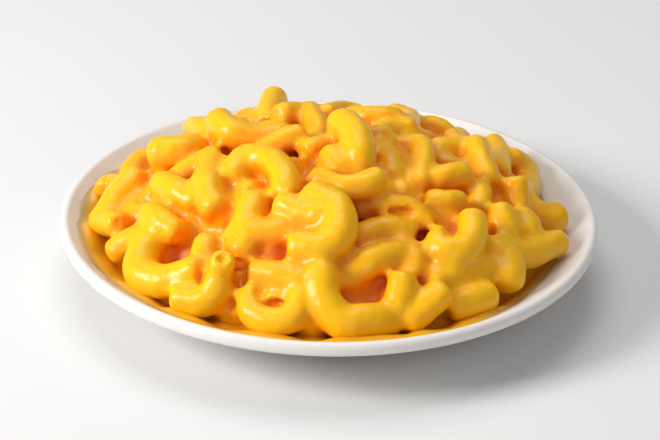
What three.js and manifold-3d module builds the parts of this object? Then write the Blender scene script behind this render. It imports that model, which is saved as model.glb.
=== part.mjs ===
// Macaroni and cheese heaped on a round white plate.
// Millimetres, +Z up, origin on the table under the middle of the plate, the diner at -Y.

import * as THREE from "three";
import { mergeVertices } from "three/addons/utils/BufferGeometryUtils.js";
import Module from "manifold-3d";

const wasm = await Module();
wasm.setup();

const GAP = 0.3; // left between the plate, the sauce and the macaroni
const MERGE_DISTANCE = 1e-4;
const UPRIGHT = new THREE.Vector3(0, 0, 1);

// Plate
const PLATE_RADIUS = 88.9;
const PLATE_HEIGHT = 22;
const PLATE_SIDES = 56;
const LIP_ROUND = 1.9; // rounding of the lip, above and below
const LIP_BAND = 0.6; // upright part of the edge between the two roundings
const LIP_SLOPE = THREE.MathUtils.degToRad(37); // of the inner wall where it meets the lip
const UNDER_SLOPE = THREE.MathUtils.degToRad(26.5); // of the outside where it leaves the lip
const WELL_HEIGHT = 5;
const WELL_RADIUS = 46;
const WALL_STEPS = 6; // straight pieces in the inner wall's outline
const UNDER_STEPS = 4; // and in the outside's
const FOOT_RADIUS = 50;
const FOOT_WIDTH = 2.6;
const FOOT_HEIGHT = 1.6;

// Sauce pool
const SAUCE_LEVEL = 12.6; // highest point of its edge
const SAUCE_SWELL = 0.5; // how far the edge climbs over the middle, at most
const SAUCE_WAVES = 7;
const EDGE_WIDTH = 3;
const POOL_CLEARANCE = 0.5; // upright distance to the plate's inner face

// Heap: the level that the macaroni's centrelines lie on
const HEAP_REACH = 77;
const HEAP_EDGE = 16.5;
const HEAP_RISE = 27.5;
const HEAP_POWER = 2.4;
const CORE_REACH = 68;
const CORE_DROP = 1.2; // core's surface below that level
const CORE_SIDES = 24;
const CORE_RINGS = 5;
const CORE_WAVER = 1.8; // unevenness of the outline
const CORE_TUCK = 2; // how far the underside lies inside the outline
const CORE_LIFT = 1; // tells the dome's points from the underside's before they are raised

// Macaroni: the ends of a tube of radius 1, as [radius, distance past the centreline's end]
const TUBE_SIDES = 8;
const TUBE_STEP = 8; // length of tube between two rings, about
const CLOSED_END = [[0, 0.85], [0.9, 0.5]];
const OPEN_END = [[0.95, 0.6]]; // outside of the hollow's rim
const BORE_FLOOR = 0.3;
const BORE_RIM = 0.75;
const SAMPLES = 7; // of a centreline between two of its points, for distances to it

// Fillers: elbows where the placed ones leave the heap bare, tried on an even spiral
const FILLER_SEED = 7;
const FILLER_SPOTS = 190;
const FILLER_REACH = 73;
const FILLER_EDGE = 74.5; // no end of one lies farther out
const FILLER_CLEARANCE = 7.6; // from a filler's middle to the nearest centreline
const FILLER_OPENING = 9; // and to the middle of an opening
const FILLER_RADIUS = [4.2, 4.9];
const FILLER_ARC = [7, 11]; // radius of the bend
const FILLER_HEIGHT = [-2.5, 0]; // over the heap's level
const FILLER_BEND = THREE.MathUtils.degToRad(63); // half the turn of the bend
const GOLDEN_TURN = Math.PI * (3 - Math.sqrt(5));

// The diner's view of the heap. Elbows are set out on a plane that faces the eye, across and up from
// its middle, and each is carried along the line of sight onto the heap.
const EYE_DISTANCE = 650;
const EYE_ELEVATION = THREE.MathUtils.degToRad(27.3);
const EYE_ROLL = THREE.MathUtils.degToRad(1);
const EYE_TARGET = new THREE.Vector3(0.27, 0, 17.5);
const SIGHT_STEP = 2;
const HALVINGS = 30;

// Each elbow: the tube's radius, then [across, up, lift] along its centreline, the lift being the
// height over the heap's level, with a fourth number where the tube swells or narrows. A trailing
// number hollows its first end to that share of the radius.
const FRONT_ROW = [
  [5.1, [-45.5, -17.6, 5], [-49.5, -19, 4], [-56, -20.6, 3.5, 1.1],
    [-62.6, -18.3, 2.5, 1.2], [-62.4, -11.8, 2.5, 1.1], [-58, -5.8, 1.5, 0.9]],
  [4.7, [-35.9, -14.4, 11.5, 0.85], [-36.2, -16.4, 7.5, 0.9], [-37.4, -22, 5],
    [-41.5, -27, 3.5, 1.08], [-49, -27.8, 3.2], 0.5],
  [4.6, [-23.3, -17.8, 3], [-16.5, -18.9, 3.5, 1.05], [-9.8, -20.8, 3, 1.15]],
  [4.7, [-27, -25.6, 2, 0.82], [-25.7, -31.2, 2.5, 0.95], [-19, -34.7, 2.5], [-12.3, -32, 4],
    [-9.5, -26.5, 4]],
  [5.7, [-3, -18.9, 5], [-2.4, -26, 4.5], [3.5, -33.5, 3], [11, -34.6, 1.5], [18.5, -33, -0.5]],
  [4.9, [24, -21.3, 3.5, 0.95], [23.2, -26, 2], [21, -32, 0]],
  [5, [35.8, -25.4, 4], [32, -28.5, 2.5], [27.5, -32.5, 0.5]],
  [5.3, [43, -28.4, -1], [47, -27, 0], [51, -26.2, -0.5]],
  [6, [55.5, -11, 0.5], [58.6, -14.5, 1.5], [59, -18.6, 1.5]],
  [4.8, [58, -12, 0], [66, -11.3, 1.5], [74.6, -11.3, 0]],
  [5.6, [69, 0.5, -1], [72, -0.5, 0], [73.8, -1, 0]],
  [4.9, [63.3, 0, 1.5], [65.3, -1, 2.5], [65.5, -4, 2]],
  [4.9, [56.6, 1.6, 2.5], [57.6, -2.5, 1.5], [58.5, -7, 0]],
  [4.9, [36.4, -4.2, 2.5, 0.55], [35.7, -8, 3.5, 0.88], [39, -11, 4.5, 1.08],
    [44.3, -10.3, 5.5, 1.12], [47.4, -5.5, 5.5, 1.02], [47.4, -0.9, 5.5]],
  [4.8, [36, -19.5, 0], [43, -18, 0.5], [50, -16.5, 0]],
  [5, [7.5, -18, 0], [14, -13.8, 2], [22, -12, 0]],
  [4.7, [12.5, -5, -1], [19, -3.2, 0], [25, -4.5, -1]],
  [3.5, [13.5, 4.9, 0], [21, 5.3, 2], [27, 4, 1.8], [31.5, -0.3, 0.5]],
  [4.5, [24, -8.5, -1], [28, -13, 0.5], [27.3, -17.5, 0]],
];
const MIDDLE = [
  [5.5, [-4, 7.5, 7.5], [2.5, 3.3, 8.5], [3.2, -4.3, 8.5], [-2.5, -9.3, 7.5], [-9.5, -9.5, 6.5]],
  [5, [-14.3, 4.1, 6], [-8.5, 1.4, 6], [-1.5, 0.6, 6.5, 1.15]],
  [4.8, [-28.6, -9.5, 2, 1.2], [-25.6, -5.4, 3, 1.15], [-18, -4.4, 3, 1.05], [-11, -5.5, 2]],
  [5.3, [-25.5, 4.8, 2.5], [-27.5, -0.5, 2.5, 0.95], [-31, -6, 1.5, 0.85]],
  [4.9, [-32, 15, 3.5], [-28.5, 20.2, 5], [-20, 19.8, 5.5], [-15.2, 14.3, 5.5], [-14.8, 9.8, 4.5]],
  [5.4, [-38.8, 18.5, 3, 0.85], [-40.6, 13, 4.5], [-40.3, 8, 4.5], [-38.6, 4.5, 3.5]],
  [5.1, [-55, 11.3, 3.5], [-50.5, 8.8, 3.5], [-46.3, 6, 2, 0.8]],
  [4.9, [-59, 1.2, 4], [-55.5, -1.5, 4], [-52.3, -3.7, 2.5, 0.9]],
  [4.5, [-41.2, -8.8, 3], [-41.8, -11, 3.5], [-41, -14.5, 2.5]],
  [4.4, [-50, 14, 1], [-45.5, 17, 2], [-39.5, 20.5, 1.5]],
  [4.2, [-6.5, 23.2, 3], [-1.5, 24.3, 2.5], [4, 25, 1]],
  [5.6, [4.6, 31.8, 8], [8.4, 27.8, 8.5], [10, 22, 7], [9.6, 16.5, 3]],
  [4.9, [1.2, 20.3, 4.5], [3, 17.5, 4], [5.5, 15, 2]],
  [4.4, [-3, 13, 4], [4, 10.5, 6], [10, 11.3, 7.5], [14.8, 13.2, 8]],
  [3.4, [12, 28.2, 2], [16.5, 28.2, 3], [17.8, 28.2, 3]],
  [4.5, [26, 24.2, 1], [30, 24.5, 2.5], [31, 19, 2], [29.8, 13, 0.5]],
  [4.8, [18.3, 21.3, 0], [20.2, 19, 0.5], [20.8, 14.5, -0.5]],
  [4.6, [43.2, 15, 3.5], [39.5, 14.4, 3], [36, 13.4, 1.5]],
  [3.9, [42.3, 6.2, 2.5], [38.5, 6, 2.3], [34.5, 6.3, 1.5]],
  [4.6, [37, 23.2, 0], [41, 23.5, 1], [44, 23.6, 1.5]],
  [3.6, [36.5, 0.5, -2], [39, -0.5, -2], [42, -1.5, -2]],
];
const TOP = [
  [5.2, [-55.5, 21.8, 6.5, 1.22], [-49.5, 22.8, 5, 1.05], [-42, 25, 1.5, 0.9]],
  [4.6, [-44.8, 30.5, 3.5], [-41, 29.5, 2], [-37, 27, -1]],
  [5.3, [-36.7, 32.3, 7], [-32.3, 28.5, 5, 1.05], [-25, 26.8, 2], [-17, 27.2, 0.5]],
  [4.4, [-11.2, 27.8, 4.5], [-15.3, 26.2, 4], [-20, 23.3, 2]],
  [4.2, [-28.2, 33.3, 0.5], [-25.3, 33.7, 0.5], [-21, 33, 0]],
  [5.1, [-18.8, 40.2, 5, 0.93], [-19.8, 36.5, 3], [-20.5, 32.5, 0.5]],
  [4.8, [-15.3, 34.8, 4], [-12, 35, 3], [-8, 34, 1]],
  [4.5, [-6.7, 35.3, 2.5], [-5.3, 32.5, 2], [-3.8, 29.5, 0.5]],
  [4.6, [8, 33.8, 0.5], [15, 33.8, 2], [21, 33.2, 2]],
  [4.2, [-1, 35, 0], [4, 36, -0.5], [9, 34.8, -1]],
  [4.5, [21.8, 34.8, 0.5], [25.2, 34, 1.5], [25.5, 30, 1]],
  [4.4, [33.5, 30.8, 0.5], [36, 30.3, 0], [39, 28, -2]],
];
const SIDES = [
  [5, [48.9, 23.6, 4.5], [50, 19, 3.5], [52, 13.5, 1.5]],
  [5, [54.6, 24, 1.5], [55.8, 20.5, 1.5], [55.5, 16, 0.5]],
  [4.5, [60.8, 19.8, 4], [65, 17.2, 2.5], [65.8, 12.5, 0.5], [65.5, 9, -1]],
  [4.4, [61.8, 11.3, 5.5], [62, 8.8, 3.5], [62.4, 5, 1]],
  [4.4, [49.6, 9.4, 0.5], [49.8, 7.5, 0], [49.6, 4, -1]],
  [3.8, [-74.9, 10.8, 1.5], [-73.5, 12, 1.5], [-68, 11.5, 2]],
  [5.6, [-74, -0.5, 1.5], [-71, 6, 3], [-65.5, 12.5, 3]],
  [4.8, [-66, 15.5, -1], [-62.5, 19.3, 0], [-56.5, 20.5, -1]],
  [4.6, [-71, -1.4, 4], [-73, -1.2, 3], [-76, -1.5, 1.5]],
  [4.7, [-70.3, -10, 1], [-66, -6.8, 1.8], [-60, -5.5, 1.5]],
];

// Where the heap stays open between its elbows: [across, up].
const HOLLOWS = [
  [-50, -11.5], [-47, 1.2], [-20, -9], [-19, -27], [8, -24], [10, -0.5], [30, -6],
  [39, -1], [55, -4], [6, 15], [-26, 14], [30, -21], [-34, -30], [28, 14],
];

// A solid from a closed geometry, with its seams and poles merged.
function toSolid(geometry) {
  geometry.deleteAttribute("normal");
  geometry.deleteAttribute("uv");
  const merged = mergeVertices(geometry, MERGE_DISTANCE);
  const index = merged.index.array;
  const corners = [];
  for (let i = 0; i < index.length; i += 3) {
    const [a, b, c] = index.subarray(i, i + 3);
    if (a !== b && b !== c && c !== a) corners.push(a, b, c);
  }
  const mesh = new wasm.Mesh({
    numProp: 3,
    vertProperties: merged.attributes.position.array,
    triVerts: new Uint32Array(corners),
  });
  return new wasm.Manifold(mesh);
}

// The outer shell of a solid as a geometry: sealed hollows are filled and loose scraps dropped.
function toGeometry(solid) {
  const shells = solid.decompose();
  shells.sort((a, b) => b.volume() - a.volume());
  const { vertProperties, triVerts } = shells[0].getMesh();
  const geometry = new THREE.BufferGeometry();
  geometry.setAttribute("position", new THREE.BufferAttribute(vertProperties, 3));
  geometry.setIndex(new THREE.BufferAttribute(triVerts, 1));
  return geometry;
}

// A turned solid about Z: LatheGeometry spins about Y, so its points are laid over.
function turned(points, sides) {
  return new THREE.LatheGeometry(points, sides).rotateX(Math.PI / 2);
}

function moveVertices(geometry, move) {
  const position = geometry.attributes.position;
  const point = new THREE.Vector3();
  for (let i = 0; i < position.count; i++) {
    move(point.fromBufferAttribute(position, i));
    position.setXYZ(i, point.x, point.y, point.z);
  }
  return geometry;
}

// Plate: the inner wall is one curve from the flat well up to the lip.
const lipCentre = new THREE.Vector2(PLATE_RADIUS - LIP_ROUND, PLATE_HEIGHT - LIP_ROUND);
const wallTop = new THREE.Vector2(-Math.sin(LIP_SLOPE), Math.cos(LIP_SLOPE))
  .multiplyScalar(LIP_ROUND)
  .add(lipCentre);
const wallBend = new THREE.Vector2(
  wallTop.x - (wallTop.y - WELL_HEIGHT) / Math.tan(LIP_SLOPE),
  WELL_HEIGHT,
);
const innerWall = new THREE.QuadraticBezierCurve(
  new THREE.Vector2(WELL_RADIUS, WELL_HEIGHT),
  wallBend,
  wallTop,
);

function wallPoints() {
  return innerWall.getPoints(WALL_STEPS);
}

function plateGeometry() {
  const bandFoot = lipCentre.y - LIP_BAND;
  const underTop = new THREE.Vector2(Math.sin(UNDER_SLOPE), -Math.cos(UNDER_SLOPE))
    .multiplyScalar(LIP_ROUND)
    .add(new THREE.Vector2(lipCentre.x, bandFoot));
  const underBend = underTop.x - (underTop.y - FOOT_HEIGHT) / Math.tan(UNDER_SLOPE);
  const footInside = FOOT_RADIUS - FOOT_WIDTH;
  const footSpread = FOOT_HEIGHT / 2; // the ring's sides lean by this much
  const under = new THREE.QuadraticBezierCurve(
    underTop,
    new THREE.Vector2(underBend, FOOT_HEIGHT),
    new THREE.Vector2(FOOT_RADIUS + footSpread, FOOT_HEIGHT),
  );
  const lip = new THREE.Path();
  const top = Math.PI / 2;
  lip.absarc(lipCentre.x, lipCentre.y, LIP_ROUND, top + LIP_SLOPE, top, true);
  lip.absarc(lipCentre.x, lipCentre.y, LIP_ROUND, top, 0, true);
  lip.absarc(lipCentre.x, bandFoot, LIP_ROUND, 0, UNDER_SLOPE - top, true);
  const outline = [
    new THREE.Vector2(0, WELL_HEIGHT),
    ...wallPoints(),
    ...lip.getPoints(1).slice(1, -1),
    ...under.getPoints(UNDER_STEPS),
    new THREE.Vector2(FOOT_RADIUS, 0),
    new THREE.Vector2(footInside, 0),
    new THREE.Vector2(footInside - footSpread, FOOT_HEIGHT),
    new THREE.Vector2(0, FOOT_HEIGHT),
  ];
  return turned(outline.reverse(), PLATE_SIDES);
}

// Distance from the middle at which the inner wall reaches a height.
function wallRadius(height) {
  let [near, far] = [0, 1];
  for (let i = 0; i < HALVINGS; i++) {
    const middle = (near + far) / 2;
    if (innerWall.getPoint(middle).y < height) near = middle;
    else far = middle;
  }
  return innerWall.getPoint(near).x;
}

// Sauce: a pool that fills the well, its edge climbing the wall unevenly. Its underside is the
// plate's inner face raised a little, and its edge runs on that same raised face.
function sauceGeometry() {
  const middleLevel = SAUCE_LEVEL - SAUCE_SWELL;
  const underside = wallPoints()
    .map((point) => new THREE.Vector2(point.x, point.y + POOL_CLEARANCE))
    .filter((point) => point.y < middleLevel - SAUCE_SWELL);
  const edge = new THREE.Vector2(wallRadius(SAUCE_LEVEL - POOL_CLEARANCE), SAUCE_LEVEL);
  const outline = [
    new THREE.Vector2(0, WELL_HEIGHT + POOL_CLEARANCE),
    ...underside,
    edge,
    new THREE.Vector2(edge.x - EDGE_WIDTH, middleLevel),
    new THREE.Vector2(0, middleLevel),
  ];
  return moveVertices(turned(outline, PLATE_SIDES), (point) => {
    const radius = Math.hypot(point.x, point.y);
    if (radius < edge.x - EDGE_WIDTH / 2) return;
    const angle = Math.atan2(point.y, point.x);
    const level = SAUCE_LEVEL - SAUCE_SWELL / 2 + (SAUCE_SWELL / 2) * Math.sin(SAUCE_WAVES * angle);
    const reach = wallRadius(level - POOL_CLEARANCE) / radius;
    point.set(point.x * reach, point.y * reach, level);
  });
}

// The level of the macaroni's centrelines over the table.
function heapLevel(x, y) {
  return HEAP_EDGE + HEAP_RISE * (1 - (Math.hypot(x, y) / HEAP_REACH) ** HEAP_POWER);
}

// Heap's core: a dome with an uneven outline, flat underneath, just over the sauce.
function coreGeometry() {
  const foot = SAUCE_LEVEL + GAP;
  const outline = [new THREE.Vector2(0, foot), new THREE.Vector2(CORE_REACH - CORE_TUCK, foot)];
  for (let i = 0; i < CORE_RINGS; i++) {
    outline.push(new THREE.Vector2(CORE_REACH * (1 - i / CORE_RINGS), foot + CORE_LIFT));
  }
  outline.push(new THREE.Vector2(0, foot + CORE_LIFT));
  return moveVertices(turned(outline, CORE_SIDES), (point) => {
    const angle = Math.atan2(point.y, point.x);
    const waver = CORE_WAVER * (Math.sin(3 * angle) + Math.sin(7 * angle + 2));
    const share = Math.hypot(point.x, point.y) / CORE_REACH;
    const reach = 1 + (waver * share) / CORE_REACH;
    point.set(point.x * reach, point.y * reach, point.z);
    if (point.z > foot + CORE_LIFT / 2) point.z = heapLevel(point.x, point.y) - CORE_DROP;
  });
}

// The eye and the facing plane's own directions.
const towardsEye = new THREE.Vector3(0, -Math.cos(EYE_ELEVATION), Math.sin(EYE_ELEVATION));
const eye = EYE_TARGET.clone().addScaledVector(towardsEye, EYE_DISTANCE);
const planeAcross = new THREE.Vector3(1, 0, 0).applyAxisAngle(towardsEye, EYE_ROLL);
const planeUp = towardsEye.clone().cross(planeAcross);

// Where the line of sight through a spot of the facing plane first meets a level over the heap, or
// where it passes closest over the heap's back.
function sight(across, up, lift) {
  const spot = EYE_TARGET.clone().addScaledVector(planeAcross, across).addScaledVector(planeUp, up);
  const ray = new THREE.Ray(eye, spot.sub(eye).normalize());
  const over = (distance) => {
    const point = ray.at(distance, new THREE.Vector3());
    return point.z - heapLevel(point.x, point.y) - lift;
  };
  let far = EYE_DISTANCE - HEAP_REACH;
  while (over(far) > 0 && over(far + SIGHT_STEP) < over(far)) far += SIGHT_STEP;
  let near = far - SIGHT_STEP;
  for (let i = 0; i < HALVINGS; i++) {
    const middle = (near + far) / 2;
    if (over(middle) > 0) near = middle;
    else far = middle;
  }
  return ray.at(near, new THREE.Vector3());
}

const closeWallPoints = innerWall.getPoints(8 * WALL_STEPS);

// Distance from a point to the dish: the plate's inner wall or the sauce's surface.
function dishDistance(point) {
  const radius = Math.hypot(point.x, point.y);
  const toWall = closeWallPoints.map((spot) => Math.hypot(spot.x - radius, spot.y - point.z));
  return Math.min(point.z - SAUCE_LEVEL, ...toWall);
}

// Where an elbow would cross the dish, its centreline moves one way until it is clear.
function clearOfDish(point, radius, way) {
  const step = way.clone().setLength(GAP);
  while (dishDistance(point) < radius + 2 * GAP) point.add(step);
  return point;
}

function curveThrough(centreline) {
  return new THREE.CatmullRomCurve3(centreline, false, "centripetal");
}

// A closed tube along a centreline: a straight one is turned, then bent. Its rings lie across the
// centreline, one side of them along the axis that the tube bends about, and swell as they are told.
function tubeGeometry({ centreline, radius, swell, bore }) {
  const curve = curveThrough(centreline);
  const length = curve.getLength();
  const steps = Math.max(1, Math.round(length / TUBE_STEP));
  const firstEnd = bore ? [[0, BORE_FLOOR], [bore, BORE_RIM], ...OPEN_END] : CLOSED_END;
  const outline = firstEnd.map(([wide, past]) => new THREE.Vector2(wide * radius, -past * radius));
  for (let i = 1; i < steps; i++) outline.push(new THREE.Vector2(radius, (length * i) / steps));
  for (const [wide, past] of CLOSED_END.toReversed()) {
    outline.push(new THREE.Vector2(wide * radius, length + past * radius));
  }
  const [start, bend] = centreline;
  const bendAxis = bend.clone().sub(start).cross(centreline.at(-1).clone().sub(start));
  if (bendAxis.length() < 1) bendAxis.copy(UPRIGHT);
  return moveVertices(new THREE.LatheGeometry(outline, TUBE_SIDES), (point) => {
    const { x, y, z } = point;
    const along = THREE.MathUtils.clamp(y / length, 0, 1);
    const spot = curve.getUtoTmapping(along) * (swell.length - 1);
    const near = Math.min(swell.length - 2, Math.floor(spot));
    const share = THREE.MathUtils.smoothstep(spot - near, 0, 1);
    const wider = THREE.MathUtils.lerp(swell[near], swell[near + 1], share);
    const tangent = curve.getTangentAt(along);
    const side = tangent.clone().cross(bendAxis).normalize();
    const over = side.clone().cross(tangent);
    curve.getPointAt(along, point).addScaledVector(tangent, (y - along * length) * wider);
    point.addScaledVector(side, x * wider).addScaledVector(over, z * wider);
  });
}

// A repeatable run of numbers between 0 and 1.
function randomRun(seed) {
  let state = seed;
  return () => {
    state = (state * 16807) % 2147483647;
    return state / 2147483647;
  };
}

// Where an elbow would cross the dish it is moved clear, straight up on the diner's side of the heap
// and towards the eye behind it.
function placedElbows() {
  return [...FRONT_ROW, ...MIDDLE, ...TOP, ...SIDES].map(([radius, ...spots]) => {
    const bore = Array.isArray(spots.at(-1)) ? 0 : spots.pop();
    const swell = spots.map((spot) => spot[3] ?? 1);
    const centreline = spots.map(([across, up, lift], i) => {
      const point = sight(across, up, lift);
      const way = point.y < 0 ? UPRIGHT : eye.clone().sub(point);
      return clearOfDish(point, radius * swell[i], way);
    });
    return { radius, centreline, swell, bore };
  });
}

// An arc that lies on the heap round its middle, which is taken out of the dish where they cross.
function fillerElbow(middle, heading, radius, arc) {
  const centreline = [-FILLER_BEND, 0, FILLER_BEND].map((angle) => {
    const spot = new THREE.Vector3(arc * (Math.cos(angle) - 1), arc * Math.sin(angle), 0);
    spot.applyAxisAngle(UPRIGHT, heading).add(middle);
    const inwards = Math.min(1, FILLER_EDGE / Math.hypot(spot.x, spot.y));
    spot.set(spot.x * inwards, spot.y * inwards, spot.z);
    spot.z += heapLevel(spot.x, spot.y) - heapLevel(middle.x, middle.y);
    return clearOfDish(spot, radius, UPRIGHT);
  });
  return { radius, centreline, swell: [1, 1, 1], bore: 0 };
}

function withFillers(elbows) {
  const random = randomRun(FILLER_SEED);
  const between = ([low, high]) => low + (high - low) * random();
  const clearOf = (points, middle, distance) => points.every((p) => p.distanceTo(middle) > distance);
  const openings = HOLLOWS.map(([across, up]) => sight(across, up, 0));
  const taken = elbows.flatMap(({ centreline }) =>
    curveThrough(centreline).getPoints(SAMPLES * (centreline.length - 1)),
  );
  const all = [...elbows];
  for (let i = 0; i < FILLER_SPOTS; i++) {
    const reach = FILLER_REACH * Math.sqrt((i + 0.5) / FILLER_SPOTS);
    const turn = i * GOLDEN_TURN;
    const middle = new THREE.Vector3(reach * Math.cos(turn), reach * Math.sin(turn), 0);
    middle.z = heapLevel(middle.x, middle.y) + between(FILLER_HEIGHT);
    const heading = between([0, 2 * Math.PI]);
    const filler = fillerElbow(middle, heading, between(FILLER_RADIUS), between(FILLER_ARC));
    if (!clearOf(openings, middle, FILLER_OPENING)) continue;
    if (!clearOf(taken, middle, FILLER_CLEARANCE)) continue;
    all.push(filler);
    taken.push(...filler.centreline);
  }
  return all;
}

function macaroniGeometry() {
  const tubes = withFillers(placedElbows()).map((elbow) => toSolid(tubeGeometry(elbow)));
  return toGeometry(wasm.Manifold.union([toSolid(coreGeometry()), ...tubes]));
}

function part(name, geometry, color, roughness) {
  const mesh = new THREE.Mesh(
    geometry,
    new THREE.MeshStandardMaterial({ color, roughness, metalness: 0 }),
  );
  mesh.name = name;
  return mesh;
}

const dish = new THREE.Group();
dish.add(
  part("plate", plateGeometry(), 0xece8e4, 0.25),
  part("cheese_sauce", sauceGeometry(), 0xf0a018, 0.3),
  part("macaroni", macaroniGeometry(), 0xf8b820, 0.35),
);

export default dish;
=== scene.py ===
import math
from bisect import bisect_left

import bmesh
import bpy
from mathutils import Matrix, Vector, noise
from mathutils.bvhtree import BVHTree
from mathutils.kdtree import KDTree


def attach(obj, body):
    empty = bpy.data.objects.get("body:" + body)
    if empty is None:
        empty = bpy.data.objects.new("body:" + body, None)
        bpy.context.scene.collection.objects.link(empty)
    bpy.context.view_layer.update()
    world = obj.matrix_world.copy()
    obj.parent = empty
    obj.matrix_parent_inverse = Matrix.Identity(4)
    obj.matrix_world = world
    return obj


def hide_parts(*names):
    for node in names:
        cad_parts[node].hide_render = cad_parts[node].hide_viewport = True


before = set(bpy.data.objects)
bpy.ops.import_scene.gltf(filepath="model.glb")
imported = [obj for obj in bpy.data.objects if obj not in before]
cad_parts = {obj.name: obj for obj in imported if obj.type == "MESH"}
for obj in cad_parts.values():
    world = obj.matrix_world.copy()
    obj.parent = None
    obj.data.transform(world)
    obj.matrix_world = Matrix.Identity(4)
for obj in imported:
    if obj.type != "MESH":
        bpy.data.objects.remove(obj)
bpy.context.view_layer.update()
print("frame loaded, nodes:", sorted(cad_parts))

mm = 0.001  # shapes are worked out in millimetres and scaled once when they become meshes
weld = 1e-4  # vertices closer than this, in millimetres, become one
upright = Vector((0, 0, 1))
goldenAngle = math.pi * (3 - math.sqrt(5))


def newPiece(name, bm, material):
    # a finished bmesh in millimetres becomes an object at the origin in metres
    bmesh.ops.scale(bm, vec=(mm, mm, mm), verts=bm.verts)
    mesh = bpy.data.meshes.new(name)
    bm.to_mesh(mesh)
    bm.free()
    mesh.shade_smooth()
    piece = bpy.data.objects.new(name, mesh)
    bpy.context.collection.objects.link(piece)
    piece.data.materials.append(material)
    return piece


def applyModifiers(piece):
    graph = bpy.context.evaluated_depsgraph_get()
    mesh = bpy.data.meshes.new_from_object(piece.evaluated_get(graph))
    piece.modifiers.clear()
    old = piece.data
    piece.data = mesh
    bpy.data.meshes.remove(old)


def addAttribute(piece, name, values):
    attribute = piece.data.attributes.new(name, "FLOAT", "POINT")
    attribute.data.foreach_set("value", values)


def turnOutline(bm, outline, sides):
    # outline is (distance from the axis, height), spun a full turn about Z
    verts = [bm.verts.new((wide, 0, height)) for wide, height in outline]
    edges = [bm.edges.new(pair) for pair in zip(verts, verts[1:])]
    bmesh.ops.spin(bm, geom=verts + edges, axis=upright, cent=(0, 0, 0), angle=math.tau,
                   steps=sides, use_merge=True)
    bmesh.ops.remove_doubles(bm, verts=bm.verts, dist=weld)
    bmesh.ops.recalc_face_normals(bm, faces=bm.faces)


def bezier(start, bend, end, steps):
    points = []
    for i in range(steps + 1):
        t = i / steps
        points.append(start * (1 - t) ** 2 + bend * 2 * t * (1 - t) + end * t ** 2)
    return points


def arc(centre, radius, first, last, steps):
    angles = [first + (last - first) * i / steps for i in range(steps + 1)]
    return [centre + Vector((math.cos(a), math.sin(a))) * radius for a in angles]


def mixed(low, high, share):
    return low + (high - low) * share


def smoothStep(low, high, value):
    t = min(1, max(0, (value - low) / (high - low)))
    return t * t * (3 - 2 * t)


def randomRun(seed):
    # the same run of numbers from 0 to 1 for the same seed
    factor, modulus, state = 16807, 2147483647, seed
    while True:
        state = state * factor % modulus
        yield state / modulus


def addNode(tree, kind, place, inputs=None, **settings):
    made = tree.nodes.new(kind)
    made.location = place
    for name, value in settings.items():
        setattr(made, name, value)
    for name, value in (inputs or {}).items():
        made.inputs[name].default_value = value
    return made


def newMaterial(name):
    material = bpy.data.materials.new(name)
    material.use_nodes = True
    tree = material.node_tree
    tree.nodes.clear()
    output = addNode(tree, "ShaderNodeOutputMaterial", (600, 0))
    shader = addNode(tree, "ShaderNodeBsdfPrincipled", (300, 0))
    tree.links.new(shader.outputs["BSDF"], output.inputs["Surface"])
    return material, tree, shader


def newGroup(name, inputs, outputs):
    tree = bpy.data.node_groups.new(name, "ShaderNodeTree")
    for label, kind, value in inputs:
        socket = tree.interface.new_socket(label, in_out="INPUT", socket_type=kind)
        if value is not None:
            socket.default_value = value
    for label, kind in outputs:
        tree.interface.new_socket(label, in_out="OUTPUT", socket_type=kind)
    start = addNode(tree, "NodeGroupInput", (-900, 0))
    end = addNode(tree, "NodeGroupOutput", (900, 0))
    return tree, start.outputs, end.inputs


toneSwing = 0.22  # how far the elbows differ in tone


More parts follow.
